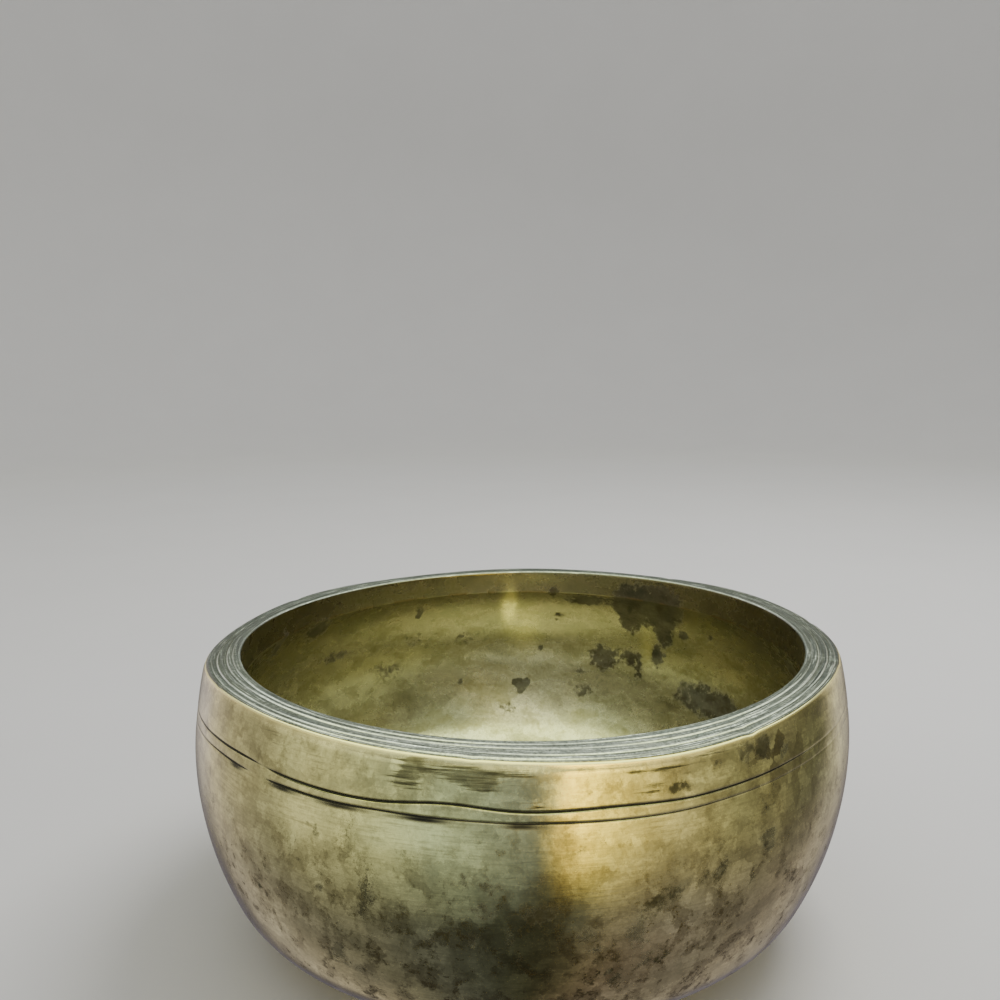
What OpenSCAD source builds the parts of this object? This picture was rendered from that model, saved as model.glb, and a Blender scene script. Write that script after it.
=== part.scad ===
// A hand-beaten bronze singing bowl with a thick, line-cut lip.
// It is one piece of metal, drawn as one section that is turned about the Z axis.
// The origin is the centre of the flat foot's underside, +Z is up, units are millimetres.

/* [Bowl] */
// Diameter across the outer edge of the lip
rim_d = 200; // [180:2:230]
// Height of the lip's outer edge above the foot
rim_h = 90; // [86:1:96]
// How far below the lip's outer edge the belly is widest
belly_drop = 27.5; // [25:0.5:30]
// Radius of the side, which curves in both above and below the widest point
side_r = 101; // [95:1:112]

/* [Lower body] */
// Radius of the rounded haunch, where the side turns into the underside
haunch_r = 25; // [20:1:28]
// How far the haunch's circle stays above the level of the foot
haunch_rise = 6.5; // [4:0.5:9]
// Radius of the shallow underside, which runs level into the flat foot
under_r = 103; // [92:1:112]

/* [Wall and lip] */
// Thickness of the wall and the floor
wall_t = 2.2; // [2:0.2:3.6]
// Width of the lip from its inner to its outer edge
lip_w = 10.5; // [9:0.5:12]
// How much higher the inner edge of the lip is than the outer edge
lip_rise = 0.7; // [0:0.1:1.5]
// Size of the small bevel that wear has left on both edges of the lip
lip_bevel = 0.5; // [0.2:0.1:1]
// Height of the upright band inside the lip
lip_band_h = 9; // [7:0.5:11]
// Radius of the hollow curve from the band out to the wall
flare_r = 42; // [36:1:45]

/* [Cut lines] */
// Width of each line cut into the top of the lip
lip_line_w = 0.5; // [0.3:0.1:0.8]
// Places of the lip's lines, as shares of its width from the inner edge
lip_lines = [0.19, 0.37, 0.69, 0.84]; // [0.15:0.01:0.85]
// Width of the two lines cut around the outside
wall_line_w = 0.6; // [0.4:0.1:1]
// Depth of the upper outside line below the lip's outer edge
wall_line_drop = 11.8; // [6:0.2:20]
// Distance between the two outside lines
wall_line_gap = 2.5; // [1.6:0.1:6]

/* [Hidden] */

// Steps in each arc of the section, facets of a cut line, and facets of the whole turn
arc_steps = 18;
cut_fn = 24;
turn_fn = 144;

// Direction at an angle below level
function below(a) = [cos(a), -sin(a)];
// Points along a circle from one angle below level to another, without the first
function arc(c, r, from, to) =
    [for (i = [1 : arc_steps]) c + r * below(from + (to - from) * i / arc_steps)];
// Angle below level of a point, seen from a centre
function angle_to(c, p) = -atan2(p.y - c.y, p.x - c.x);

rim_r = rim_d / 2;

// The outside is three arcs, each tangent to the next: side, haunch and underside.
side_c = [rim_r - sqrt(side_r * side_r - belly_drop * belly_drop), rim_h - belly_drop];
haunch_start = asin((side_c.y - haunch_r - haunch_rise) / (side_r - haunch_r));
haunch_c = side_c + (side_r - haunch_r) * below(haunch_start);
under_start = asin((under_r - haunch_c.y) / (under_r - haunch_r));
under_c = haunch_c - (under_r - haunch_r) * below(under_start);

// The flare passes through the foot of the lip's band and is tangent to the inside of the wall.
band_foot = [rim_r - lip_w, rim_h - lip_band_h];
band_reach = norm(band_foot - side_c);
flare_reach = side_r - wall_t - flare_r;
flare_turn = acos((flare_reach * flare_reach + band_reach * band_reach - flare_r * flare_r)
    / (2 * flare_reach * band_reach));
flare_end = angle_to(side_c, band_foot) + flare_turn;
flare_c = side_c + flare_reach * below(flare_end);

// Point of the outside of the wall, at a depth below the lip's outer edge
function on_side(drop) =
    [side_c.x + sqrt(side_r * side_r - pow(belly_drop - drop, 2)), rim_h - drop];
// Point of the lip's sloping top, at a share of its width from the inner edge
function on_lip(share) = [rim_r - lip_w * (1 - share), rim_h + lip_rise * (1 - share)];

// The wall, the floor and the lip, from the lip's outer edge down, across and up the inside
module section() {
    bevel_share = lip_bevel / lip_w;
    polygon(concat(
        [on_lip(1 - bevel_share), on_side(lip_bevel)],
        arc(side_c, side_r, angle_to(side_c, on_side(lip_bevel)), haunch_start),
        arc(haunch_c, haunch_r, haunch_start, under_start),
        arc(under_c, under_r, under_start, 90),
        [[0, 0], [0, wall_t], [under_c.x, wall_t]],
        arc(under_c, under_r - wall_t, 90, under_start),
        arc(haunch_c, haunch_r - wall_t, under_start, haunch_start),
        arc(side_c, side_r - wall_t, haunch_start, flare_end),
        arc(flare_c, flare_r, flare_end, angle_to(flare_c, band_foot)),
        [on_lip(0) - [0, lip_bevel], on_lip(bevel_share)]
    ));
}

// The round bottom of one cut line
module cut_line(centre, width) {
    translate(centre) circle(d = width, $fn = cut_fn);
}

module bowl() {
    color("darkkhaki") rotate_extrude($fn = turn_fn) difference() {
        section();
        for (share = lip_lines) cut_line(on_lip(share), lip_line_w);
        for (drop = [wall_line_drop, wall_line_drop + wall_line_gap])
            cut_line(on_side(drop), wall_line_w);
    }
}

bowl();
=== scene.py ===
"""A hand-beaten bronze singing bowl: the finished surface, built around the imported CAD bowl.

Lengths in this script are millimetres of the design unless a name ends in _m. Azimuth is in degrees
round the bowl: 0 is the front (-Y) and 90 is the right (+X). Drop is the depth below the height of
the rim.
"""
import math

import bpy
import numpy as np
from mathutils import Matrix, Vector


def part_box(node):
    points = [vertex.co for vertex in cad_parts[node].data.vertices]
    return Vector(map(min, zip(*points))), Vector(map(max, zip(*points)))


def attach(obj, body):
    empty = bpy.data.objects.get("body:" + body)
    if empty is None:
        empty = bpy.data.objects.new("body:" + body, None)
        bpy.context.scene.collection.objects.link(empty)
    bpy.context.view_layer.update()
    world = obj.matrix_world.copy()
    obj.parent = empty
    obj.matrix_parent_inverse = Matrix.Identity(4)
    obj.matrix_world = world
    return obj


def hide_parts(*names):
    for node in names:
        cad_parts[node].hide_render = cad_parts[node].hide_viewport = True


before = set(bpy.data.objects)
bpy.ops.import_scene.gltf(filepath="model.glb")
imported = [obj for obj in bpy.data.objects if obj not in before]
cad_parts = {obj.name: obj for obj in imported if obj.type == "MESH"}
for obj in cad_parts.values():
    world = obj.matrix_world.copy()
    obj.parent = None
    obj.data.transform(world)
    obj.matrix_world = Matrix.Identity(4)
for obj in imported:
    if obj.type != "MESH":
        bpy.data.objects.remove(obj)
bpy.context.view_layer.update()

# ---------------------------------------------------------------- section, as the CAD bowl has it
RIM_R = 100.0
RIM_H = 90.0
BELLY_DROP = 27.5  # from the rim down to the widest place
SIDE_R = 101.0  # radius of the arc of the side
HAUNCH_R = 25.0  # radius of the tighter arc below the side
HAUNCH_RISE = 6.5  # height of that arc's circle over the ground
UNDER_R = 103.0  # radius of the flat arc of the underside
WALL = 2.2
LIP_W = 10.5
LIP_RISE = 0.7  # the inner edge of the lip over the outer edge
BAND_H = 9.0  # height of the straight band inside the lip
FLARE_R = 42.0  # radius of the arc from the band out to the thin wall
BELLY_R = RIM_R + SIDE_R - math.sqrt(SIDE_R**2 - BELLY_DROP**2)

BOX_LOW_m, BOX_HIGH_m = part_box("bowl")
MM = (BOX_HIGH_m.x - BOX_LOW_m.x) / 2 / BELLY_R

COLUMNS = 480
AZIMUTH = (np.arange(COLUMNS) * 360.0 / COLUMNS + 180) % 360 - 180
PHI = np.radians(AZIMUTH)


def below(angle):
    """Direction at an angle below level, in the (radius, height) plane."""
    a = math.radians(angle)
    return np.array([math.cos(a), -math.sin(a)])


def angle_to(centre, point):
    return -math.degrees(math.atan2(point[1] - centre[1], point[0] - centre[0]))


SIDE_C = np.array([RIM_R - math.sqrt(SIDE_R**2 - BELLY_DROP**2), RIM_H - BELLY_DROP])
HAUNCH_START = math.degrees(math.asin((SIDE_C[1] - HAUNCH_R - HAUNCH_RISE) / (SIDE_R - HAUNCH_R)))
HAUNCH_C = SIDE_C + (SIDE_R - HAUNCH_R) * below(HAUNCH_START)
UNDER_START = math.degrees(math.asin((UNDER_R - HAUNCH_C[1]) / (UNDER_R - HAUNCH_R)))
UNDER_C = HAUNCH_C - (UNDER_R - HAUNCH_R) * below(UNDER_START)
FOOT_R = UNDER_C[0]
BAND_FOOT = np.array([RIM_R - LIP_W, RIM_H - BAND_H])
BAND_REACH = np.linalg.norm(BAND_FOOT - SIDE_C)
FLARE_REACH = SIDE_R - WALL - FLARE_R
FLARE_TURN = math.degrees(
    math.acos((FLARE_REACH**2 + BAND_REACH**2 - FLARE_R**2) / (2 * FLARE_REACH * BAND_REACH))
)
FLARE_END = angle_to(SIDE_C, BAND_FOOT) + FLARE_TURN
FLARE_C = SIDE_C + FLARE_REACH * below(FLARE_END)


def side_radius(drop):
    return SIDE_C[0] + np.sqrt(SIDE_R**2 - (BELLY_DROP - drop) ** 2)


# ---------------------------------------------------------------- hand-made unevenness
# Each wave is (waves round the bowl, size, azimuth of a crest).
OUT_OF_ROUND = ((2, 0.5, -49), (3, 0.45, 58))
INNER_EDGE_WAVES = ((1, 0.55, 28), (2, 0.8, -73), (3, 0.2, -50))
OUTER_EDGE_WAVES = ((1, 1.0, 37), (2, 0.6, -63), (3, 0.75, -41), (4, 0.6, -39), (6, 0.4, 0))
OUTER_EDGE_LOW = 0.6
LEAN = 0.022

# Drop of the two lines cut round the outside, where the hand wandered: (azimuth, drop)
UPPER_LINE = (
    (-165, 11.6), (-140, 11.9), (-120, 11.2), (-95, 12.2), (-70, 12.1), (-52, 10.9), (-44, 10.7),
    (-33, 11.7), (-20, 11.8), (-10, 10.6), (0, 11.8), (13, 11.6), (24, 12.0), (34, 11.4),
    (45, 10.6), (60, 10.2), (80, 11.0), (105, 11.9), (130, 11.3), (155, 12.1),
)
LOWER_LINE = (
    (-160, 14.3), (-135, 14.8), (-110, 14.0), (-90, 15.0), (-68, 15.6), (-57, 14.3), (-40, 13.9),
    (-29, 14.2), (-19, 13.9), (-8, 14.2), (7, 14.6), (21, 14.8), (32, 14.2), (46, 13.4), (60, 13.1),
    (85, 13.8), (110, 14.6), (135, 14.0), (165, 14.7),
)
# How firmly each line is cut: (azimuth, strength)
UPPER_CUT = (
    (-150, 0.9), (-100, 0.7), (-60, 0.8), (-43, 0.9), (-40.2, 0.3), (-37, 1), (-10, 1.1), (25, 0.9),
    (44, 0.6), (52, 0.3), (62, 0.3), (80, 0.7), (120, 1),
)
LOWER_CUT = (
    (-150, 0.8), (-100, 0.9), (-60, 0.7), (-44.5, 0.8), (-42, 0), (-40.5, 0), (-38, 0.9),
    (-20, 0.9), (-5, 0.7), (15, 0.8), (35, 0.6), (46, 0.5), (52, 0.2), (62, 0.3), (80, 0.7),
    (120, 0.9),
)
# Where the tool skidded below the lower line and left a soft wide dent, darkened with painted shade:
# (azimuth, half width in degrees, size)
SKIDS = (
    (-47, 2.4, 0.9), (-36, 3.4, 0.9), (-25.5, 5.2, 0.9), (-13, 5, 1), (0, 3.6, 0.9), (8, 4, 0.3),
    (24, 4, 0.3), (74, 6, 0.8), (112, 8, 0.7), (150, 5, 0.8), (-84, 7, 0.8), (-128, 6, 0.9),
    (-165, 6, 0.6),
)
# The lines cut round the lip: (distance from the inner edge, strength, plain rows that follow)
LIP_LINES = (
    (9.0, 0.9, (8.0,)),
    (7.0, 0.9, (6.3, 5.7, 5.1)),
    (4.4, 1.0, (3.4,)),
    (2.4, 0.8, (1.4, 0.8)),
)
# Where the lip is duller: (azimuth, drop, half width, half height, strength)
LIP_DULL = (
    (38, 0, 30, 20, 1.0), (-36, 0, 15, 20, 0.9), (-112, 0, 26, 20, 0.8), (-138, 0, 32, 20, 0.8),
    (-170, 0, 34, 20, 1.0), (160, 0, 34, 20, 1.0), (125, 0, 32, 20, 0.9), (92, 0, 26, 20, 0.4),
    (66, 0, 20, 20, 0.3),
)
# Small knocks on the outer edge of the lip: (azimuth, half width in degrees, depth)
EDGE_KNOCKS = (
    (35, 1.1, 0.35), (71, 1.3, 0.45), (-58, 0.9, 0.2), (-7, 0.8, 0.15), (98, 1.2, 0.4),
    (143, 1.0, 0.35), (-120, 1.3, 0.4),
)
# The outer edge of the lip, lightened as wear and as a painted highlight: how far it is rounded across
# and down, and (turn, shine) round it
EDGE_ROUND = 0.6
EDGE_FALL = 0.8
EDGE_SHINE = ((0, 0.2), (22, 0.9), (45, 1.0), (68, 1.0), (90, 0.3))
# The inner edge of the lip, with how strongly it is lightened as wear and painted highlight, and the
# bulge of the lip between its edges (four times its height)
INNER_ROUND = 0.5
INNER_SHINE = 0.35
LIP_CROWN = 0.5
# The foot is slightly hollow, so that the bowl stands on a ring
FOOT_HOLLOW = 0.4
FOOT_CENTRE_Z = 0.42
# The cut lines: half width and depths of the grooves, and the ridge pushed up just above each
LINE_WIDE = 0.3
UPPER_DEPTH = 0.26
LOWER_DEPTH = 0.22
RIDGE = 0.03
RIDGE_RISE = 0.7
# Depth of the skids, and the strength of the painted shade in them
SKID_DEPTH = 0.15
SKID_SHADE = 0.82
# Shallow dents of the hammer: (how many, least and greatest half width, least and greatest depth)
BROAD_DENTS = (900, (5, 10), (0.02, 0.06))
SMALL_DENTS = (260, (2, 3.6), (0.01, 0.03))
INSIDE_DENTS = (700, (5, 10), (0.02, 0.07))


def waves(terms, azimuth):
    return sum(size * np.cos(np.radians(count * (azimuth - crest))) for count, size, crest in terms)


def smooth_loop(points, azimuth):
    """A smooth closed curve of value against azimuth through a few (azimuth, value) points."""
    at = np.array([p[0] for p in points], float)
    value = np.array([p[1] for p in points], float)
    at = np.concatenate([at[-3:] - 360, at, at[:3] + 360])
    value = np.concatenate([value[-3:], value, value[:3]])
    slope = np.gradient(value, at)
    i = np.clip(np.searchsorted(at, azimuth, side="right") - 1, 0, len(at) - 2)
    span = at[i + 1] - at[i]
    t = (azimuth - at[i]) / span
    return (
        value[i] * (2 * t**3 - 3 * t**2 + 1)
        + slope[i] * span * (t**3 - 2 * t**2 + t)
        + value[i + 1] * (3 * t**2 - 2 * t**3)
        + slope[i + 1] * span * (t**3 - t**2)
    )


def bell(offset, width):
    return np.exp(-((offset / width) ** 2))


def ramp(value, low, high):
    """0 up to low, then rising evenly to 1 at high."""
    return np.clip((value - low) / (high - low), 0, 1)


def turn_between(azimuth, centre):
    """Signed angle from a centre, the short way round."""
    return (azimuth - centre + 180) % 360 - 180


# ---------------------------------------------------------------- the grid of the surface
OUTSIDE = 0
LIP = 1
INSIDE = 2


class Grid:
    """Rows of points round the bowl: from the foot up the outside, over the lip and down inside."""

    def __init__(self):
        self.part = []
        self.rows = {name: [] for name in ("radius", "height", "cut", "dark", "worn", "edge")}

    def add(self, part, radius, height, **marks):
        """Adds a row. Cut is a depth, and dark, worn and edge are marks from 0 to about 1: dark is dirt
        and painted shade, and worn and edge are wear and painted highlight.
        """
        self.part.append(part)
        row = {"radius": radius, "height": height, **marks}
        for name, rows in self.rows.items():
            rows.append(row.get(name, 0.0) * np.ones(COLUMNS))

    def values(self, name):
        return np.array(self.rows[name])

    def arc(self, part, centre, radius, start, end, steps):
        """Rows along an arc, after its start and up to its end, both as angles below level."""
        for i in range(1, steps + 1):
            r, z = centre + radius * below(start + (end - start) * i / steps)
            self.add(part, r, z)

    def side(self, drop, **marks):
        self.add(OUTSIDE, side_radius(drop), RIM_H - drop, **marks)


def groove(u, strength, depth):
    """Depth of a cut line at u below its middle, with the ridge just above it."""
    return strength * (depth * bell(u, LINE_WIDE) - RIDGE * bell(u + RIDGE_RISE, LINE_WIDE))


def outside_rows(grid, edge_z):
    for share in (0.12, 0.35, 0.6, 0.8, 0.93, 1.0):
        grid.add(OUTSIDE, share * FOOT_R, FOOT_HOLLOW * (1 - share**2))
    grid.arc(OUTSIDE, UNDER_C, UNDER_R, 90, UNDER_START, 13)
    grid.arc(OUTSIDE, HAUNCH_C, HAUNCH_R, UNDER_START, HAUNCH_START, 13)
    upper = smooth_loop(UPPER_LINE, AZIMUTH)
    lower = smooth_loop(LOWER_LINE, AZIMUTH)
    upper_cut = np.clip(smooth_loop(UPPER_CUT, AZIMUTH), 0, 2)
    lower_cut = np.clip(smooth_loop(LOWER_CUT, AZIMUTH), 0, 2)
    skid = sum(size * bell(turn_between(AZIMUTH, at), wide) for at, wide, size in SKIDS)
    lowest = RIM_H - (SIDE_C + SIDE_R * below(HAUNCH_START))[1]
    skids_end = lower + 2.6
    for share in np.linspace(0, 1, 26)[1:]:
        grid.side(lowest + (skids_end - lowest) * share)
    # The cut lines are darkened with dirt and painted shade
    for u in (2.0, 1.5, 1.1, 0.75, 0.45, 0.25, 0.1, 0.0, -0.1, -0.25, -0.45, -0.75):
        # Painted shade in the dent of a skid
        soft = skid * bell(u - 0.8, 0.85) * (u > 0)
        cut = groove(u, lower_cut, LOWER_DEPTH) + SKID_DEPTH * soft
        grid.side(lower + u, cut=cut, dark=lower_cut * bell(u, 0.24) + SKID_SHADE * soft)
    upper_end = -1.1
    for u in (0.8, 0.45, 0.25, 0.1, 0.0, -0.1, -0.25, -0.45, -0.75, upper_end):
        cut = groove(u, upper_cut, UPPER_DEPTH)
        grid.side(upper + u, cut=cut, dark=1.3 * upper_cut * bell(u - 0.03, 0.26))
    top = RIM_H - edge_z + EDGE_FALL
    # Up to the edge; the last rows are lightened a little as wear and painted highlight
    for share in (0.2, 0.4, 0.6, 0.78, 0.92):
        drop = (upper + upper_end) * (1 - share) + top * share
        grid.side(drop, edge=0.2 * bell(1 - share, 0.06))


def lip_rows(grid, edge_r, edge_z, inner_r, inner_z, rng):
    for turn, shine in EDGE_SHINE:
        a = math.radians(turn)
        part = LIP if turn > 30 else OUTSIDE
        radius = edge_r - EDGE_ROUND * (1 - math.cos(a))
        grid.add(part, radius, edge_z - EDGE_FALL * (1 - math.sin(a)), edge=shine)
    width = edge_r - inner_r

    def across(s, **marks):
        share = s / LIP_W
        crown = LIP_CROWN * share * (1 - share)
        grid.add(LIP, inner_r + width * share, inner_z + (edge_z - inner_z) * share + crown, **marks)

    across(LIP_W - 0.45)
    for at, strength, plain in LIP_LINES:
        wander = waves([(k, 0.22 / k**0.5, rng.uniform(-180, 180)) for k in (2, 3, 5, 9)], AZIMUTH)
        uneven = waves([(k, 0.28, rng.uniform(-180, 180)) for k in (3, 4, 7, 11)], AZIMUTH)
        force = strength * (1 + uneven)
        for u in (0.5, 0.3, 0.15, 0.0, -0.15, -0.3, -0.5):
            # Each line is dark with dirt and painted shade, with a painted highlight along its inner
            # side
            cut = force * (0.2 * bell(u, 0.2) - 0.05 * bell(abs(u) - 0.45, 0.2))
            dark = force * bell(u - 0.12, 0.18)
            across(at + wander + u, cut=cut, dark=dark, worn=force * bell(u + 0.22, 0.13))
        for s in plain:
            across(s)
    for turn in (90, 60, 30, 0):
        a = math.radians(turn)
        radius = inner_r + INNER_ROUND * (1 - math.cos(a))
        grid.add(LIP, radius, inner_z - INNER_ROUND * (1 - math.sin(a)), worn=INNER_SHINE)


def inside_rows(grid, inner_r, inner_z):
    foot_z = RIM_H - BAND_H
    for share in (0.12, 0.3, 0.5, 0.7, 0.88, 0.985, 1.0):
        z = (inner_z - INNER_ROUND) * (1 - share) + foot_z * share
        grid.add(INSIDE, inner_r * (1 - share) + BAND_FOOT[0] * share, z)
    crease = angle_to(FLARE_C, BAND_FOOT)
    crease_end = crease + 0.2
    grid.arc(INSIDE, FLARE_C, FLARE_R, crease, crease_end, 1)
    grid.arc(INSIDE, FLARE_C, FLARE_R, crease_end, FLARE_END, 14)
    grid.arc(INSIDE, SIDE_C, SIDE_R - WALL, FLARE_END, HAUNCH_START, 20)
    grid.arc(INSIDE, HAUNCH_C, HAUNCH_R - WALL, HAUNCH_START, UNDER_START, 12)
    grid.arc(INSIDE, UNDER_C, UNDER_R - WALL, UNDER_START, 90, 14)
    for share in (0.82, 0.6, 0.38, 0.15):
        grid.add(INSIDE, share * FOOT_R, WALL)


def surface_normals(points):
    """Outward normals of a grid of points, from the way to its neighbours."""
    round_way = np.roll(points, -1, 1) - np.roll(points, 1, 1)
    up_way = np.gradient(points, axis=0)
    normal = np.cross(round_way, up_way)
    return normal / np.linalg.norm(normal, axis=2, keepdims=True)


def hammer_marks(points, which, count, size, depth, rng):
    """Depth of many shallow round dents over the chosen points."""
    chosen = points[which]
    total = np.zeros(len(chosen))
    for centre in chosen[rng.integers(0, len(chosen), count)]:
        wide = rng.uniform(*size)
        near = np.abs(chosen - centre).max(1) < 3 * wide
        gap = ((chosen[near] - centre) ** 2).sum(1)
        total[near] += rng.uniform(*depth) * np.exp(-gap / wide**2)
    return total - total.mean()


def patches(azimuth, drop, radius, marks, grow=1.0):
    """Sum of soft oval patches, each (azimuth, drop, half width, half height, strength)."""
    total = np.zeros_like(drop)
    for at, low, wide, high, strength in marks:
        along = np.radians(turn_between(azimuth, at)) * radius
        total += strength * np.exp(-((along / wide / grow) ** 2) - ((drop - low) / high / grow) ** 2)
    return total


# ---------------------------------------------------------------- marks of age and handling
# Each is (azimuth, drop, half width, half height, strength).
OUTSIDE_BRUSHED = (
    (-14.8, 3.6, 2.6, 3.0, 1.2), (-9, 3.4, 4.5, 1.8, 1.0), (-5.5, 5.0, 3.4, 1.7, 1.3),
    (-0.5, 3.4, 5, 1.4, 0.7), (1.5, 10.2, 3.0, 0.9, 0.6), (15.3, 4.0, 1.6, 0.9, 0.8),
    (19.5, 4.6, 3.4, 1.0, 0.7), (17.7, 8.2, 3.4, 1.4, 0.7), (-17.5, 6.5, 2.6, 3.4, 0.45),
    (-30, 6.5, 4, 3, 0.35), (-38.5, 4, 3.2, 3, 0.45), (27, 3.5, 7, 1.6, 0.5), (70, 5, 9, 2.4, 0.7),
    (95, 6.5, 7, 2.4, 0.9), (118, 3.5, 10, 1.6, 0.6), (150, 5.5, 9, 2.6, 0.9), (-178, 4, 8, 2, 0.6),
    (-150, 6, 9, 2.5, 0.8), (-122, 4, 7, 2.5, 0.7), (-95, 6.5, 9, 2, 0.8), (-75, 4, 5, 2.4, 0.5),
)
OUTSIDE_SPOTS = (
    (20.8, 9.4, 1.6, 1.5, 1.0), (22.8, 9.0, 4.0, 2.2, 0.7), (33, 5, 4, 4, 0.75),
    (37, 4.5, 3.4, 4.5, 0.95), (41, 6.5, 2.8, 3.2, 0.9), (28, 5.5, 2.6, 1.6, 0.7),
    (36.5, 19, 5, 5, 0.4), (37.2, 27.6, 3.4, 1.2, 1.6), (37.6, 30.6, 3.0, 1.3, 1.2),
    (42.3, 39.8, 2.6, 1.8, 0.7), (34.6, 38.3, 1.4, 2.8, 0.8), (29, 31, 2.6, 3, 0.5),
    (27, 33, 7, 3.4, 0.5), (20.8, 35, 5, 3.2, 0.7), (18.5, 38, 5, 2.6, 0.6), (16.2, 45, 4, 5, 0.8),
    (19, 53.5, 6, 3, 0.7), (13, 58, 5, 4, 0.7), (27, 50, 6, 2.5, 0.4), (2.6, 37.3, 5.0, 2.6, 1.1),
    (-3, 30, 3.8, 3, 0.7), (-7.2, 28, 4, 3, 0.6), (-4.6, 36.5, 3.6, 2.6, 0.7),
    (-2.9, 21.5, 2.0, 2.2, 0.6), (3.1, 27.1, 1.2, 1.0, 0.9), (-6.1, 44.5, 2.8, 2.0, 0.9),
    (-12, 46, 2, 1.4, 0.7), (-1.0, 43.3, 1.6, 2.4, 0.7), (0, 50, 2, 1.5, 0.7),
    (7, 35, 3.2, 1.4, 0.5), (9.2, 43.2, 3.2, 1.8, 1.0), (10.5, 48, 3, 1.4, 0.8),
    (8, 21.3, 1.6, 0.8, 0.7), (-29, 22, 4, 2.6, 0.6), (-16, 23.3, 3.4, 1.6, 0.7),
    (-28.5, 38, 1.8, 2.0, 0.9), (-31.5, 30.5, 4.5, 2.6, 0.45), (-28, 46.5, 2, 1.6, 0.7),
    (-18.3, 45, 2.2, 2.4, 0.8), (-21.5, 48, 3.6, 0.9, 0.7), (-27, 55.6, 2.4, 2.9, 1.2),
    (-39.2, 39, 3.2, 2.2, 0.6), (-42, 46.3, 1.3, 1.5, 1.1), (-55, 29, 1.4, 3.2, 0.6),
    (-50.5, 31, 1.2, 2.6, 0.55), (-11.5, 36, 9, 9, 0.35), (-24, 60, 12, 3.4, 0.45),
    (-50, 3.0, 1.2, 0.9, 0.9), (-32.5, 6.0, 2.6, 1.8, 0.4), (62, 24, 4, 3, 0.7),
    (70, 40, 6, 4, 0.6), (84, 30, 3, 5, 0.8), (92, 50, 8, 4, 0.7), (104, 22, 4, 3, 0.7),
    (116, 42, 5, 5, 0.8), (131, 30, 7, 3, 0.5), (140, 55, 7, 4, 0.8), (152, 36, 3, 3, 1.0),
    (167, 27, 5, 4, 0.5), (177, 47, 6, 4, 0.8), (-168, 34, 3, 3, 0.9), (-155, 52, 8, 4, 0.7),
    (-146, 26, 4, 2, 0.6), (-133, 41, 5, 5, 0.8), (-118, 31, 3, 3, 0.9), (-107, 50, 7, 4, 0.7),
    (-96, 28, 5, 3, 0.5), (-86, 42, 4, 4, 0.8), (-73, 36, 3, 3, 0.6),
)
OUTSIDE_RUNS = (
    (-24, 20.5, 2.8, 6, 0.7), (-21, 35, 2.8, 7.5, 1.1), (-22, 41, 1.3, 3.0, 1.0),
    (-36, 28, 5, 9, 0.35), (-5.5, 19, 6, 5, 0.25), (26, 22, 5, 7, 0.3), (38.5, 15.5, 3, 3.5, 0.5),
    (45, 24, 2.5, 9, 0.4), (-29, 30, 11, 13, 0.3), (-14, 24, 6, 7, 0.3), (-27, 48, 9, 6, 0.3),
    (30, 38, 10, 8, 0.25), (-50, 24, 4, 9, 0.3), (78, 26, 4, 9, 0.7), (110, 34, 4, 10, 0.8),
    (158, 24, 4, 8, 0.7), (-160, 42, 4, 9, 0.8), (-125, 22, 4, 7, 0.7), (-100, 38, 4, 9, 0.8),
    (-64, 34, 3, 8, 0.4),
)
# Where the beaten facets show strongest
OUTSIDE_DABBED = (
    (39, 6, 12, 7, 1.2), (24, 6.5, 7, 4, 0.8), (-40, 5, 6, 5, 0.4), (-16, 6, 5, 4, 0.4),
    (-30, 32, 9, 12, 0.6), (30, 34, 9, 9, 0.6), (-6, 40, 12, 9, 0.5), (44, 22, 6, 9, 0.5),
    (76, 6, 9, 6, 0.8), (100, 30, 12, 14, 0.7), (140, 8, 12, 7, 0.8), (160, 38, 14, 12, 0.7),
    (-150, 28, 12, 12, 0.7), (-115, 10, 12, 8, 0.8), (-95, 44, 12, 9, 0.6),
)
OUTSIDE_RUBBED = (
    (28.7, 8.3, 3.2, 1.4, 1.0), (-48, 20, 7, 5, 0.8), (-32, 19, 8, 4.5, 1.2),
    (-15, 18.5, 13, 4.2, 1.5), (20, 17, 5, 3, 0.8), (30, 17, 6, 3, 0.3), (-58, 40, 5, 12, 0.4),
    (52, 45, 5, 12, 0.3), (90, 18, 8, 4, 0.6), (135, 18, 9, 4, 0.5), (-175, 19, 9, 4, 0.5),
    (-138, 18, 8, 4, 0.6), (-90, 19, 8, 4, 0.5),
)
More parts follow.
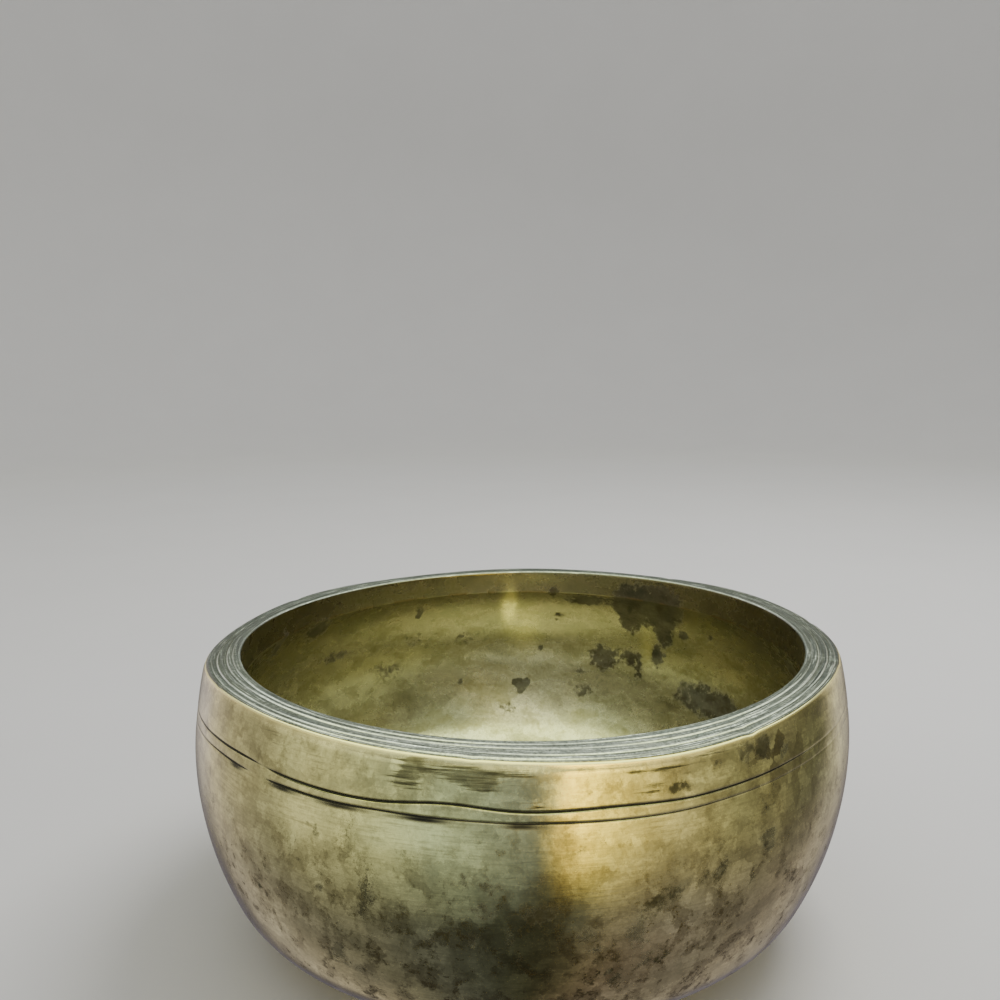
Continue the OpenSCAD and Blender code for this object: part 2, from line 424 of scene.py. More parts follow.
INSIDE_SPOTS = (
    (171.6, 8.8, 1.9, 1.5, 1.2), (163, 12.2, 8, 2.3, 0.95), (151, 12, 5.5, 6.5, 1.1),
    (144, 13, 7, 8, 1.1), (152.4, 20, 3, 5.5, 0.9), (143, 22.5, 2.4, 5.5, 0.9),
    (139.5, 9, 6, 5, 0.8), (170.5, 21.5, 2.2, 1.8, 0.7), (159.2, 39, 5.0, 4.8, 1.0),
    (152, 37.2, 4.2, 3.0, 0.9), (145.3, 35, 2.6, 4.2, 0.9), (150, 44, 1.8, 2.4, 0.9),
    (137.8, 22.8, 1.8, 1.2, 0.9), (130, 20, 1.2, 1.0, 1.0), (179.7, 53.4, 1.6, 2.2, 1.4),
    (-179, 51.6, 1.2, 1.2, 1.3), (178.2, 51.8, 1.1, 1.2, 1.2), (163.5, 54, 4.6, 3.0, 0.6),
    (164.7, 46, 2.4, 0.9, 0.8), (132.5, 48, 12, 5.5, 0.8), (124, 50, 7, 4, 0.7),
    (175.1, 36.8, 0.9, 1.3, 0.9), (-122, 13.4, 6, 4.4, 0.8), (-107.3, 12.5, 3, 6, 0.7),
    (-131.5, 29.5, 9, 2, 0.7), (-147.4, 43, 6.5, 3.6, 0.3), (-153.5, 17.3, 1.3, 1.2, 1.1),
    (-164.7, 50.6, 1.1, 1.0, 0.9), (-166, 31, 7, 3.5, 0.45), (-153, 30, 6, 3.5, 0.45),
    (-144, 40, 9, 3, 0.3), (-154, 14, 6, 2.6, 0.35), (-177, 62, 6, 3, 0.45), (-100, 40, 8, 5, 0.6),
    (-70, 25, 6, 6, 0.7), (-45, 45, 10, 5, 0.7), (-20, 20, 8, 6, 0.7), (10, 38, 9, 6, 0.8),
    (35, 15, 6, 4, 0.8), (55, 50, 9, 5, 0.7), (80, 30, 7, 7, 0.8), (100, 60, 8, 4, 0.6),
    (100, 18, 5, 4, 0.7), (-30, 66, 8, 4, 0.5), (60, 68, 9, 4, 0.5),
)
# Painted highlights inside: patches where the metal is lightened to a golden colour, as if light fell
# there
INSIDE_HIGHLIGHTS = (
    (-177, 15.5, 2.6, 7.5, 2.2), (179, 28, 6, 10, 0.5), (-172, 62, 12, 9, 0.25),
    (170, 68, 14, 8, 0.2), (-140, 62, 14, 8, 0.3), (148, 30, 3, 9, 0.35), (178, 3, 14, 2.6, 0.35),
    (0, 40, 12, 10, 0.3), (90, 50, 12, 10, 0.3), (-90, 55, 12, 10, 0.3),
)


# ---------------------------------------------------------------- bowl
def add_mesh(name, co, faces):
    mesh = bpy.data.meshes.new(name)
    mesh.from_pydata(co, [], faces)
    mesh.polygons.foreach_set("use_smooth", np.ones(len(faces), bool))
    piece = bpy.data.objects.new(name, mesh)
    bpy.context.scene.collection.objects.link(piece)
    return piece


def bowl_grid(rng):
    edge_z = RIM_H - OUTER_EDGE_LOW + waves(OUTER_EDGE_WAVES, AZIMUTH)
    edge_z = edge_z - sum(
        depth * bell(turn_between(AZIMUTH, at), wide) for at, wide, depth in EDGE_KNOCKS
    )
    edge_r = side_radius(RIM_H - edge_z)
    inner_r = (RIM_R - LIP_W) * np.ones(COLUMNS)
    inner_z = RIM_H + LIP_RISE + waves(INNER_EDGE_WAVES, AZIMUTH)
    grid = Grid()
    outside_rows(grid, edge_z)
    lip_rows(grid, edge_r, edge_z, inner_r, inner_z, rng)
    inside_rows(grid, inner_r, inner_z)
    return grid


def shaped(grid, part, r, z, rng):
    """Points of the grid, with cut lines and dents of the hammer, and the whole leaning a little."""
    points = np.stack([r * np.sin(PHI), -r * np.cos(PHI), z], -1)
    normal = surface_normals(points)
    drop = RIM_H - z
    push = -grid.values("cut")
    out = part == OUTSIDE
    ins = part == INSIDE
    clear = ramp(drop, 1.5, 6.5) * ramp(r, FOOT_R, FOOT_R + 8)
    push[out] -= hammer_marks(points, out, *BROAD_DENTS, rng) * clear[out]
    push[out] -= hammer_marks(points, out, *SMALL_DENTS, rng) * clear[out]
    push[ins] -= hammer_marks(points, ins, *INSIDE_DENTS, rng) * ramp(drop[ins], BAND_H, BAND_H + 6)
    points = points + normal * push[..., None]
    points[..., 0] += LEAN * (points[..., 2] - RIM_H)
    return points


def surface_marks(grid, part, r, z):
    """Strength of each kind of mark at each point, under the names that the materials use."""
    azimuth = np.ones_like(r) * AZIMUTH
    drop = RIM_H - z

    def on(where, marks, grow=1.0):
        return (part == where) * patches(azimuth, drop, r, marks, grow)

    return {
        "line_dirt_and_shade": grid.values("dark"),
        "worn": grid.values("worn"),
        "edge": grid.values("edge"),
        "brushed": on(OUTSIDE, OUTSIDE_BRUSHED, 1.3),
        "spots": on(OUTSIDE, OUTSIDE_SPOTS) + on(INSIDE, INSIDE_SPOTS, 1.25),
        "runs": on(OUTSIDE, OUTSIDE_RUNS),
        "dabbed": on(OUTSIDE, OUTSIDE_DABBED),
        "dull": on(LIP, LIP_DULL),
        # Lighter rubbed metal outside, and painted highlights inside
        "rubbed_and_highlight": on(OUTSIDE, OUTSIDE_RUBBED) + on(INSIDE, INSIDE_HIGHLIGHTS),
    }


def bowl_faces(parts):
    """Quads between the rows and a fan round each centre point, with the part that each face is of."""
    here = np.arange(COLUMNS)
    there = (here + 1) % COLUMNS
    faces = []
    face_part = []
    for i in range(len(parts) - 1):
        a = i * COLUMNS + here
        b = i * COLUMNS + there
        faces += np.stack([a, b, b + COLUMNS, a + COLUMNS], -1).tolist()
        face_part += [max(parts[i], parts[i + 1])] * COLUMNS
    foot_centre = len(parts) * COLUMNS
    floor_centre = foot_centre + 1
    last = (len(parts) - 1) * COLUMNS
    faces += [[int(t), int(h), foot_centre] for h, t in zip(here, there)]
    faces += [[int(last + h), int(last + t), floor_centre] for h, t in zip(here, there)]
    face_part += [OUTSIDE] * COLUMNS + [INSIDE] * COLUMNS
    return faces, face_part


def make_bowl():
    rng = np.random.default_rng(11)
    grid = bowl_grid(rng)
    part = np.array(grid.part)[:, None] * np.ones(COLUMNS, int)
    z = grid.values("height")
    r = grid.values("radius")
    r = r + waves(OUT_OF_ROUND, AZIMUTH) * ramp(z, 0, RIM_H) * (r > FOOT_R)
    points = shaped(grid, part, r, z, rng)
    foot_centre = [points[0, :, 0].mean(), 0.0, FOOT_CENTRE_Z]
    floor_centre = [points[-1, :, 0].mean(), 0.0, WALL]
    co = np.concatenate([points.reshape(-1, 3), [foot_centre, floor_centre]]) * MM
    faces, face_part = bowl_faces(grid.part)

    bowl = add_mesh("singing_bowl", co.tolist(), faces)
    bowl.data.polygons.foreach_set("material_index", np.array(face_part, np.int32))
    for name, value in surface_marks(grid, part, r, z).items():
        layer = bowl.data.attributes.new(name, "FLOAT", "POINT")
        layer.data.foreach_set("value", np.concatenate([value.ravel(), [0, 0]]).astype(np.float32))
    bowl.data.update()
    return bowl


# ---------------------------------------------------------------- node patterns
class Pattern:
    """Short calls that add nodes to a node tree. Values are numbers, colours or sockets."""

    def __init__(self, tree):
        self.tree = tree
        tree.nodes.clear()

    def add(self, kind, inputs=(), **settings):
        node = self.tree.nodes.new(kind)
        for name, value in settings.items():
            setattr(node, name, value)
        for key, value in dict(inputs).items():
            socket = node.inputs[key]
            if isinstance(value, bpy.types.NodeSocket):
                self.tree.links.new(value, socket)
            else:
                socket.default_value = value
        return node

    def math(self, operation, a, b=0.0, c=0.0):
        return self.add("ShaderNodeMath", {0: a, 1: b, 2: c}, operation=operation).outputs[0]

    def times(self, a, b):
        return self.math("MULTIPLY", a, b)

    def plus(self, a, b):
        return self.math("ADD", a, b)

    def remap(self, value, low, high, to_low=0.0, to_high=1.0, kind="SMOOTHSTEP"):
        inputs = {"Value": value, "From Min": low, "From Max": high}
        inputs.update({"To Min": to_low, "To Max": to_high})
        return self.add("ShaderNodeMapRange", inputs, interpolation_type=kind).outputs[0]

    def mix(self, share, a, b, blend="MIX"):
        node = self.add("ShaderNodeMix", data_type="RGBA", blend_type=blend)
        for socket, value in ((node.inputs[0], share), (node.inputs[6], a), (node.inputs[7], b)):
            if isinstance(value, bpy.types.NodeSocket):
                self.tree.links.new(value, socket)
            elif isinstance(value, tuple):
                socket.default_value = (*value, 1)
            else:
                socket.default_value = value
        return node.outputs[2]

    def attribute(self, name):
        return self.add("ShaderNodeAttribute", attribute_name=name).outputs["Fac"]

    def place(self):
        """Position in millimetres."""
        at = self.add("ShaderNodeTexCoord").outputs["Object"]
        return self.add("ShaderNodeVectorMath", {0: at, "Scale": 1 / MM}, operation="SCALE").outputs[0]

    def stretched(self, at, x, y, z):
        return self.add("ShaderNodeVectorMath", {0: at, 1: (x, y, z)}, operation="MULTIPLY").outputs[0]

    def noise(self, at, scale, detail=4.0, roughness=0.55, distortion=0.0):
        inputs = {"Vector": at, "Scale": scale, "Detail": detail, "Roughness": roughness}
        inputs["Distortion"] = distortion
        return self.add("ShaderNodeTexNoise", inputs).outputs["Fac"]

    def spread(self, at, scale, detail=4.0, roughness=0.6, distortion=0.0):
        """Noise spread over the whole of 0 to 1."""
        return self.remap(self.noise(at, scale, detail, roughness, distortion), 0.3, 0.7, kind="LINEAR")

    def ruffled(self, at, scale, reach):
        """Places pushed about by a noise, so that a pattern laid over them gets ragged borders."""
        inputs = {"Vector": at, "Scale": scale, "Detail": 5.0, "Roughness": 0.7}
        push = self.add("ShaderNodeTexNoise", inputs).outputs["Color"]
        centre = (0.5, 0.5, 0.5)
        push = self.add("ShaderNodeVectorMath", {0: push, 1: centre}, operation="SUBTRACT").outputs[0]
        push = self.add("ShaderNodeVectorMath", {0: push, "Scale": reach}, operation="SCALE").outputs[0]
        return self.add("ShaderNodeVectorMath", {0: at, 1: push}, operation="ADD").outputs[0]

    def hairline(self, noise, width):
        """Thin wandering lines, where a noise crosses its middle."""
        return self.remap(self.math("ABSOLUTE", self.math("SUBTRACT", noise, 0.5)), width, 0.0)

    def cells(self, at, scale):
        """A different value in each of many patches with crisp borders."""
        node = self.add("ShaderNodeTexVoronoi", {"Vector": at, "Scale": scale})
        return self.add("ShaderNodeSeparateColor", {"Color": node.outputs["Color"]}).outputs[1]

    def pits(self, at, scale, size):
        """Small round marks, of which only the rarer random cells are large enough to see."""
        cell = self.add("ShaderNodeTexVoronoi", {"Vector": at, "Scale": scale})
        pick = self.add("ShaderNodeSeparateColor", {"Color": cell.outputs["Color"]}).outputs[0]
        reach = self.times(self.math("POWER", pick, 3.0), size)
        return self.remap(self.math("SUBTRACT", reach, cell.outputs["Distance"]), 0.0, 0.08)

    def bump(self, height, depth):
        inputs = {"Height": height, "Strength": 1.0, "Distance": depth * MM}
        return self.add("ShaderNodeBump", inputs).outputs[0]

    def metal(self, colour, metallic, roughness, normal):
        inputs = {"Base Color": colour, "Metallic": metallic, "Roughness": roughness, "Normal": normal}
        inputs["Specular IOR Level"] = 0.2
        shader = self.add("ShaderNodeBsdfPrincipled", inputs)
        self.add("ShaderNodeOutputMaterial", {"Surface": shader.outputs[0]})


def new_material(name):
    material = bpy.data.materials.new(name)
    material.use_nodes = True
    return material, Pattern(material.node_tree)


def patch_mask(p, soft, noise):
    """Turns a soft patch into one with a ragged edge."""
    return p.remap(p.times(soft, p.math("MULTIPLY_ADD", noise, 1.5, 0.3)), 0.3, 0.62)


def broken_mask(p, soft, noise):
    """Turns a soft patch into scattered marks that thin out toward its edge."""
    return p.remap(p.plus(soft, p.times(noise, 0.9)), 0.82, 1.28)


def wall_material():
    material, p = new_material("bronze_wall")
    at = p.place()
    ragged = p.ruffled(at, 0.3, 7.0)
    height = p.add("ShaderNodeSeparateXYZ", {0: at}).outputs[2]
    broad = p.spread(at, 0.022, 3)
    clouds = p.spread(ragged, 0.055, 6, 0.62, 0.4)
    mottle = p.spread(p.stretched(ragged, 1, 1, 0.8), 0.15, 7, 0.6, 0.3)
    grain = p.spread(at, 0.9, 5, 0.65)
    speckle = p.spread(at, 0.42, 7, 0.72)
    brushed_noise = p.spread(p.stretched(at, 0.1, 0.1, 1.5), 1.0, 6, 0.68)
    run_noise = p.spread(p.stretched(ragged, 1.1, 1.1, 0.2), 1.0, 5, 0.65, 0.3)
    beaten = p.spread(p.stretched(at, 1.25, 1.25, 0.8), 0.13, 2, 0.4)
    dabs = p.cells(p.stretched(p.ruffled(at, 0.25, 3.4), 1.5, 1.5, 0.95), 0.15)
    sideways = p.cells(p.stretched(ragged, 0.6, 0.6, 1.8), 0.2)
    scratch = p.hairline(p.noise(p.stretched(ragged, 0.5, 0.5, 0.11), 1.0, 2, 0.5), 0.012)
    crack = p.hairline(p.noise(p.stretched(ragged, 0.9, 0.9, 0.3), 1.0, 3, 0.6), 0.022)

    # Worn metal, from the broadest change of colour to the finest specks
    low_down = p.remap(height, 72, 40)
    colour = p.mix(broad, (0.78, 0.70, 0.35), (0.64, 0.64, 0.38))
    colour = p.mix(p.times(low_down, 0.5), colour, (0.54, 0.48, 0.38))
    colour = p.mix(p.remap(beaten, 0.2, 0.85, 0.0, 0.42), colour, (0.36, 0.33, 0.20))
    dabbed = p.times(p.remap(dabs, 0.42, 0.75), p.plus(0.2, p.times(p.attribute("dabbed"), 0.7)))
    colour = p.mix(dabbed, colour, (0.19, 0.17, 0.095))
    colour = p.mix(p.remap(sideways, 0.55, 0.68, 0.0, 0.36), colour, (0.24, 0.22, 0.14))
    colour = p.mix(p.remap(clouds, 0.5, 0.8, 0.0, 0.4), colour, (0.27, 0.26, 0.17))
    patina = p.times(p.remap(mottle, 0.45, 0.75), p.plus(0.42, p.times(low_down, 0.33)))
    colour = p.mix(patina, colour, (0.20, 0.175, 0.105))
    colour = p.mix(p.remap(brushed_noise, 0.45, 0.9, 0.0, 0.4), colour, (0.30, 0.27, 0.16))
    clusters = p.times(p.remap(mottle, 0.4, 0.8), p.plus(0.25, p.times(low_down, 0.75)))
    specks = p.times(p.remap(speckle, 0.5, 0.68), clusters)
    specks = p.math("MAXIMUM", specks, p.times(p.times(scratch, p.remap(speckle, 0.4, 0.7)), 0.6))
    cracked = p.times(crack, p.remap(speckle, 0.25, 0.5))
    cracked = p.times(cracked, p.remap(p.attribute("runs"), 0.06, 0.4))
    specks = p.math("MAXIMUM", specks, cracked)
    colour = p.mix(p.times(specks, 0.9), colour, (0.09, 0.075, 0.04))
    # Lighter rubbed metal on the outside; inside, the same mark is a painted highlight
    rubbed_and_highlight = p.times(p.attribute("rubbed_and_highlight"), p.remap(brushed_noise, 0.9, 0.2, 0.25, 0.85))
    colour = p.mix(p.math("MINIMUM", rubbed_and_highlight, 0.75), colour, (0.86, 0.82, 0.46))

    # Stains, pits, the edge lightened as wear and as a painted highlight, and the cut lines darkened
    # with dirt and painted shade
    brushed = broken_mask(p, p.attribute("brushed"), brushed_noise)
    brushed = p.times(brushed, p.plus(0.44, p.times(brushed_noise, 0.58)))
    runs = p.times(broken_mask(p, p.times(p.attribute("runs"), 0.62), run_noise), 0.85)
    spots = p.times(broken_mask(p, p.attribute("spots"), speckle), p.plus(0.42, p.times(mottle, 0.5)))
    smudge = p.math("MINIMUM", p.math("MAXIMUM", p.math("MAXIMUM", brushed, runs), spots), 1.0)
    colour = p.mix(smudge, colour, (0.045, 0.043, 0.022))
    pits = p.pits(p.stretched(ragged, 1, 1, 1.3), 0.33, 0.26)
    pits = p.times(pits, p.plus(0.25, p.times(low_down, 0.6)))
    colour = p.mix(p.times(pits, 0.85), colour, (0.05, 0.04, 0.025))
    colour = p.mix(1.0, colour, p.mix(grain, (0.82, 0.82, 0.82), (1.12, 1.12, 1.12)), "MULTIPLY")
    colour = p.mix(p.times(p.attribute("edge"), 0.95), colour, (1.0, 0.88, 0.42))
    dark = p.remap(p.attribute("line_dirt_and_shade"), 0.2, 0.8)
    colour = p.mix(dark, colour, (0.012, 0.011, 0.008))

    metallic = p.math("SUBTRACT", 1.0, p.plus(p.times(smudge, 0.45), p.times(dark, 0.8)))
    roughness = p.plus(0.12, p.times(mottle, 0.08))
    roughness = p.plus(roughness, p.times(p.plus(p.plus(smudge, pits), p.plus(dark, specks)), 0.2))
    height_map = p.plus(p.times(brushed_noise, 0.4), p.times(grain, 0.2))
    height_map = p.math("SUBTRACT", height_map, p.times(pits, 0.1))
    normal = p.bump(p.plus(height_map, p.times(beaten, 1.6)), 0.02)
    p.metal(colour, metallic, roughness, normal)
    return material


def lip_material():
    material, p = new_material("bronze_lip")
    at = p.place()
    x, y, _ = p.add("ShaderNodeSeparateXYZ", {0: at}).outputs
    reach = p.math("SQRT", p.plus(p.times(x, x), p.times(y, y)))
    way = p.add("ShaderNodeVectorMath", {0: p.stretched(at, 1, 1, 0)}, operation="NORMALIZE").outputs[0]
    way_x, way_y, _ = p.add("ShaderNodeSeparateXYZ", {0: way}).outputs

    def round_way(across, along):
        inputs = {0: p.times(way_x, along), 1: p.times(way_y, along), 2: p.times(reach, across)}
        return p.add("ShaderNodeCombineXYZ", inputs).outputs[0]

    band = p.spread(round_way(0.55, 1.6), 1.0, 3, 0.5, 0.2)
    streak = p.spread(round_way(1.5, 2.6), 1.0, 4, 0.6, 0.3)
    scratch = p.spread(round_way(3.6, 7), 1.0, 3, 0.6, 0.2)
    mottle = p.spread(at, 0.16, 5, 0.65)
    grain = p.spread(at, 1.0, 4, 0.75)
    colour = p.mix(mottle, (0.225, 0.228, 0.225), (0.14, 0.146, 0.15))
    dull = p.math("MINIMUM", p.attribute("dull"), 1.0)
    colour = p.mix(p.times(dull, 0.75), colour, (0.075, 0.083, 0.084))
    colour = p.mix(p.remap(band, 0.45, 0.8, 0.0, 0.6), colour, (0.10, 0.115, 0.12))
    colour = p.mix(p.remap(streak, 0.42, 0.7, 0.0, 0.75), colour, (0.09, 0.095, 0.08))
    colour = p.mix(p.remap(scratch, 0.66, 0.9, 0.0, 0.8), colour, (0.80, 0.82, 0.80))
    colour = p.mix(p.remap(scratch, 0.36, 0.12, 0.0, 0.8), colour, (0.07, 0.07, 0.06))
    colour = p.mix(1.0, colour, p.mix(grain, (0.3, 0.3, 0.3), (1.7, 1.7, 1.7)), "MULTIPLY")
    # Wear and painted highlights along the cut lines and the inner edge
    worn = p.math("MINIMUM", p.attribute("worn"), 1.0)
    colour = p.mix(p.times(worn, p.plus(0.45, p.times(grain, 0.5))), colour, (0.93, 0.96, 0.94))
    # The outer edge, lightened as wear and as a painted highlight
    colour = p.mix(p.times(p.attribute("edge"), 0.95), colour, (1.0, 0.90, 0.48))
    # The cut lines, darkened with dirt and painted shade
    dark = p.remap(p.attribute("line_dirt_and_shade"), 0.1, 0.9)
    colour = p.mix(p.times(dark, p.plus(0.55, p.times(mottle, 0.4))), colour, (0.03, 0.03, 0.025))
    metallic = p.math("SUBTRACT", 0.95, p.times(dark, 0.6))
    roughness = p.plus(p.plus(0.28, p.times(streak, 0.12)), p.times(dark, 0.2))
    normal = p.bump(p.plus(p.times(streak, 0.6), p.times(scratch, 0.5)), 0.05)
    p.metal(colour, metallic, roughness, normal)
    return material


def inside_material():
    material, p = new_material("bronze_inside")
    at = p.place()
    ragged = p.ruffled(at, 0.3, 4.5)
    height = p.add("ShaderNodeSeparateXYZ", {0: at}).outputs[2]
    broad = p.spread(at, 0.03, 4)
    clouds = p.spread(p.stretched(ragged, 0.6, 0.6, 1.5), 0.065, 6, 0.6, 0.4)
    mottle = p.spread(p.stretched(ragged, 0.7, 0.7, 1.4), 0.14, 5, 0.55)
    dabs = p.cells(p.stretched(ragged, 0.8, 0.8, 1.4), 0.13)
    speckle = p.spread(at, 0.4, 7, 0.7)
    grain = p.spread(at, 0.9, 4)
    # Painted shade: the inside wall is made darker toward the rim
    upper_shade = p.remap(height, 22, 80)
    colour = p.mix(broad, (0.67, 0.635, 0.51), (0.585, 0.585, 0.53))
    colour = p.mix(p.times(upper_shade, 0.85), colour, (0.285, 0.233, 0.155))
    colour = p.mix(p.remap(clouds, 0.5, 0.8, 0.0, 0.6), colour, (0.28, 0.262, 0.185))
    colour = p.mix(p.remap(mottle, 0.5, 0.8, 0.0, 0.5), colour, (0.25, 0.225, 0.145))
    colour = p.mix(p.remap(dabs, 0.5, 0.8, 0.0, 0.3), colour, (0.24, 0.23, 0.15))
    colour = p.mix(p.remap(speckle, 0.6, 0.85, 0.0, 0.35), colour, (0.17, 0.16, 0.10))
    # Painted highlights: the patches lighten the metal to a golden colour
    rubbed_and_highlight = p.times(p.attribute("rubbed_and_highlight"), p.plus(0.5, p.times(speckle, 0.45)))
    colour = p.mix(p.math("MINIMUM", rubbed_and_highlight, 0.92), colour, (1.0, 0.87, 0.44))
    spots = patch_mask(p, p.attribute("spots"), speckle)
    strong = p.remap(p.attribute("spots"), 1.2, 1.6)
    spots = p.times(spots, p.math("MAXIMUM", p.plus(0.6, p.times(mottle, 0.35)), strong))
    stain = p.mix(broad, (0.04, 0.027, 0.01), (0.035, 0.037, 0.028))
    colour = p.mix(p.times(spots, 0.96), colour, stain)
    crease = p.remap(p.math("ABSOLUTE", p.math("SUBTRACT", height, RIM_H - BAND_H)), 0.9, 0.1)
    crease = p.times(crease, p.remap(mottle, 0.35, 0.6))
    colour = p.mix(p.times(crease, 0.45), colour, (0.26, 0.16, 0.08))
    colour = p.mix(1.0, colour, p.mix(grain, (0.82, 0.82, 0.82), (1.1, 1.1, 1.1)), "MULTIPLY")
    metallic = p.math("SUBTRACT", 1.0, p.times(spots, 0.8))
    roughness = p.plus(p.plus(0.22, p.times(mottle, 0.1)), p.times(spots, 0.15))
    normal = p.bump(p.plus(p.times(grain, 0.3), p.times(speckle, 0.4)), 0.014)
    p.metal(colour, metallic, roughness, normal)
    return material


# ---------------------------------------------------------------- studio
# What the metal mirrors, as (azimuth of the reflection, colour), at and just below eye level
LEVEL_LIGHT = (
    (-180, (0.13, 0.16, 0.18)), (-155, (0.16, 0.16, 0.15)), (-134, (1.2, 1.08, 1.05)),
    (-112, (0.75, 0.68, 0.53)), (-90, (0.62, 0.58, 0.44)), (-70, (0.95, 0.93, 0.64)),
    (-46, (0.92, 0.98, 0.7)), (-23, (0.74, 0.87, 0.72)), (2, (0.43, 0.49, 0.48)),
    (9, (0.38, 0.43, 0.41)), (12, (2.4, 2.0, 0.85)), (16, (4.8, 3.4, 0.6)), (19.5, (4.8, 3.5, 0.6)),
    (25, (3.5, 2.75, 0.62)), (31, (2.3, 1.85, 0.6)), (39, (1.55, 1.3, 0.56)),
    (50, (0.95, 0.86, 0.5)), (70, (0.5, 0.48, 0.3)), (92, (0.3, 0.28, 0.19)),
    (114, (0.17, 0.17, 0.12)), (133, (1.15, 1.05, 0.82)), (153, (0.24, 0.21, 0.2)),
    (180, (0.13, 0.16, 0.18)),
)
# The same, well below eye level
LOW_LIGHT = (
    (-180, (0.15, 0.14, 0.17)), (-156, (0.17, 0.155, 0.19)), (-139, (0.2, 0.18, 0.18)),
    (-127, (0.74, 0.66, 0.54)), (-114, (0.62, 0.56, 0.47)), (-92, (0.3, 0.29, 0.26)),
    (-70, (0.28, 0.28, 0.24)), (-47, (0.17, 0.18, 0.17)), (-23, (0.12, 0.135, 0.125)),
    (0, (0.075, 0.082, 0.06)), (14, (0.07, 0.07, 0.05)), (22, (0.14, 0.13, 0.09)),
    (35, (0.29, 0.24, 0.18)), (47, (0.3, 0.245, 0.21)), (70, (0.36, 0.31, 0.28)),
    (92, (0.34, 0.31, 0.28)), (108, (0.34, 0.3, 0.27)), (122, (0.58, 0.51, 0.44)),
    (134, (0.5, 0.44, 0.38)), (150, (0.22, 0.2, 0.23)), (180, (0.15, 0.14, 0.17)),
)
BRIGHTEST = 5.0
ROOM_LIGHT = (0.82, 0.83, 0.84)
CEILING_LIGHT = (2.75, 3.05, 1.5)
REAR_CEILING_LIGHT = (2.6, 2.85, 2.25)


def light_ramp(p, share, stops):
    ramp = p.add("ShaderNodeValToRGB", {0: share})
    elements = ramp.color_ramp.elements
    while len(elements) < len(stops):
        elements.new(0.5)
    for element, (at, colour) in zip(elements, stops):
        element.position = (at + 180) / 360
        element.color = (*(c / BRIGHTEST for c in colour), 1)
    return p.mix(1.0, ramp.outputs[0], (BRIGHTEST, BRIGHTEST, BRIGHTEST), "MULTIPLY")


def around_light(p, x, y, rise):
    """Light from the sides: level and low light, with a warm tall panel right of the front."""
    turn = p.math("ARCTAN2", x, p.times(y, -1))
    share = p.math("MULTIPLY_ADD", turn, 1 / (2 * math.pi), 0.5)
    warm = p.times(p.times(p.remap(x, 0.0, 0.14), p.remap(x, 0.9, 0.55)), p.remap(y, 0.1, -0.3))
    low_end = p.plus(p.remap(y, -0.2, 0.6, -52, -32), p.times(warm, p.remap(x, 0.22, 0.42, 2, -6)))
    level = p.remap(rise, low_end, p.math("MULTIPLY_ADD", warm, 8, -14))
    bend = p.times(warm, p.remap(x, 0.25, 0.6, 1.0, 0.5))
    level = p.times(level, p.math("SUBTRACT", 1.0, p.times(bend, p.math("SUBTRACT", 1.0, level))))
    around = p.mix(level, light_ramp(p, share, LOW_LIGHT), light_ramp(p, share, LEVEL_LIGHT))
    cool_band = p.times(p.remap(rise, -12, -26), p.remap(rise, -56, -42))
    cool = p.times(p.times(warm, p.remap(x, 0.17, 0.24)), cool_band)
    around = p.mix(cool, around, (0.03, 0.06, 0.085), "ADD")
    lift = p.remap(rise, 3, 16, 1.0, 2.2)
    grey = p.add("ShaderNodeCombineColor", {0: lift, 1: lift, 2: lift}).outputs[0]
    return p.mix(1.0, around, grey, "MULTIPLY")


def above_light(p, x, y, z):
    """Light from above: a soft panel, and a weak fill in front of it with a brighter middle."""
    over = p.math("MAXIMUM", z, 0.02)
    panel_x = p.math("ABSOLUTE", p.math("DIVIDE", x, over))
    panel_y = p.math("DIVIDE", y, over)
    panel = p.times(p.remap(panel_y, -2.5, -0.95), p.remap(panel_y, 2.2, 1.4))
    panel = p.times(p.remap(panel_x, 2.0, 1.0), panel)
    front_fill = p.mix(p.remap(y, 0.1, -0.6), (0.08, 0.09, 0.09), (0.42, 0.42, 0.38))
    centred = p.times(p.remap(p.math("ABSOLUTE", x), 0.42, 0.05), p.remap(y, -0.3, -0.6))
    front_fill = p.mix(centred, front_fill, (1.75, 1.75, 1.15))
    ceiling = p.mix(p.remap(y, 0.05, 0.4), CEILING_LIGHT, REAR_CEILING_LIGHT)
    return p.mix(panel, front_fill, ceiling)


def make_world():
    """A plain pale room for the eye, and soft panels that only the metal mirrors."""
    world = bpy.data.worlds.new("studio")
    bpy.context.scene.world = world
    world.use_nodes = True
    world.cycles.sampling_method = "NONE"
    p = Pattern(world.node_tree)
    way = p.add("ShaderNodeTexCoord").outputs["Generated"]
    x, y, z = p.add("ShaderNodeSeparateXYZ", {0: way}).outputs
    rise = p.times(p.math("ARCSINE", z), 180 / math.pi)
    above_start = p.remap(y, 0.1, 0.5, 9, 6)
    above_end = p.remap(y, 0.1, 0.5, 20, 16)
    is_above = p.remap(rise, above_start, above_end)
    mirrored = p.mix(is_above, around_light(p, x, y, rise), above_light(p, x, y, z))
    is_mirrored = p.add("ShaderNodeLightPath").outputs["Is Glossy Ray"]
    seen = p.mix(is_mirrored, ROOM_LIGHT, mirrored)
    light = p.add("ShaderNodeBackground", {"Color": seen, "Strength": 1.0})
    p.add("ShaderNodeOutputWorld", {"Surface": light.outputs[0]})


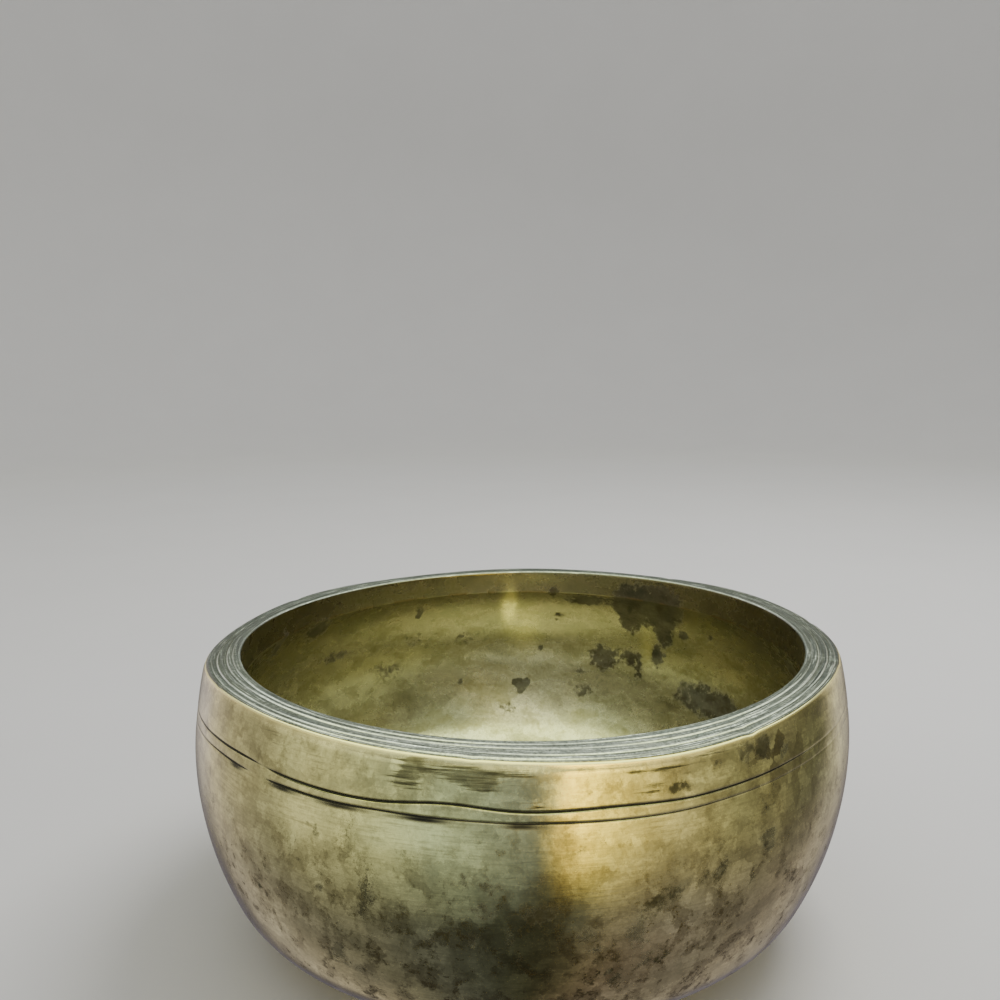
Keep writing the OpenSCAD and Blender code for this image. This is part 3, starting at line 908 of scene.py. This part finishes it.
def make_stage():
    """A round pale floor that curves up into a wall, so that no horizon shows."""
    flat_m = 1.3
    corner_m = 0.6
    top_m = 1.6
    steps = 96
    profile = [(0.02, 0.0), (flat_m / 2, 0.0), (flat_m, 0.0)]
    for angle in range(6, 91, 6):
        a = math.radians(angle)
        profile.append((flat_m + corner_m * math.sin(a), corner_m * (1 - math.cos(a))))
    profile.append((flat_m + corner_m, top_m))
    turn = np.arange(steps) * 2 * math.pi / steps
    co = [[0.0, 0.0, 0.0]]
    co += [[r * math.cos(t), r * math.sin(t), z] for r, z in profile for t in turn]
    faces = [[0, 1 + i, 1 + (i + 1) % steps] for i in range(steps)]
    for k in range(len(profile) - 1):
        a = 1 + k * steps
        b = a + steps
        faces += [[a + i, b + i, b + (i + 1) % steps, a + (i + 1) % steps] for i in range(steps)]
    floor = add_mesh("studio_floor", co, faces)
    floor.visible_glossy = False
    floor.visible_shadow = False
    floor.data.materials.append(floor_material())
    return floor


def floor_material():
    material, p = new_material("pale_floor")
    tone = p.noise(p.place(), 0.01, 3)
    colour = p.mix(tone, (0.70, 0.69, 0.67), (0.74, 0.73, 0.71))
    inputs = {"Base Color": colour, "Roughness": 0.95, "Specular IOR Level": 0.1}
    shader = p.add("ShaderNodeBsdfPrincipled", inputs)
    p.add("ShaderNodeOutputMaterial", {"Surface": shader.outputs[0]})
    return material


def placed(right, up, back, place):
    """A matrix with the given directions as its axes."""
    return Matrix([[right[i], up[i], back[i], place[i]] for i in range(3)] + [[0, 0, 0, 1]])


def make_softbox(name, place, aim, size, power):
    """A square soft lamp, in metres and watts, that lights the floor and isn't mirrored."""
    light = bpy.data.lights.new(name, "AREA")
    light.energy = power
    light.size = size
    lamp = bpy.data.objects.new(name, light)
    bpy.context.scene.collection.objects.link(lamp)
    way = np.array(aim, float) - np.array(place, float)
    back = -way / np.linalg.norm(way)
    side = np.cross((0, 1, 0), back)
    side /= np.linalg.norm(side)
    up = np.cross(back, side)
    lamp.matrix_world = placed(side, up, back, place)
    lamp.visible_glossy = False
    return lamp


# ---------------------------------------------------------------- camera
# Place in front of the bowl's axis and over the rim, and turns in degrees
CAMERA_BACK = 319.3
CAMERA_UP = 97.3
PITCH = 9.315
YAW = -1.256
ROLL = -0.387
SENSOR = 36.0
FOCAL = 36.0


def make_camera():
    pitch = math.radians(PITCH)
    yaw = math.radians(YAW)
    roll = math.radians(ROLL)
    forward = [math.sin(yaw) * math.cos(pitch), math.cos(yaw) * math.cos(pitch), -math.sin(pitch)]
    forward = np.array(forward)
    level = np.array([math.cos(yaw), -math.sin(yaw), 0.0])
    lift = np.cross(level, forward)
    right = math.cos(roll) * level + math.sin(roll) * lift
    up = -math.sin(roll) * level + math.cos(roll) * lift
    place = (0.0, -CAMERA_BACK * MM, (RIM_H + CAMERA_UP) * MM)
    camera = bpy.data.objects.new("camera", bpy.data.cameras.new("camera"))
    bpy.context.scene.collection.objects.link(camera)
    camera.matrix_world = placed(right, up, -forward, place)
    camera.data.sensor_width = SENSOR
    camera.data.lens = FOCAL
    bpy.context.scene.camera = camera


# ---------------------------------------------------------------- the scene
bowl = make_bowl()
for material in (wall_material(), lip_material(), inside_material()):
    bowl.data.materials.append(material)
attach(bowl, "root")
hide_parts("bowl")
make_stage()
make_world()
make_softbox("softbox", place=(0.35, 0.25, 0.9), aim=(0, 0, 0.05), size=0.5, power=6)
make_camera()
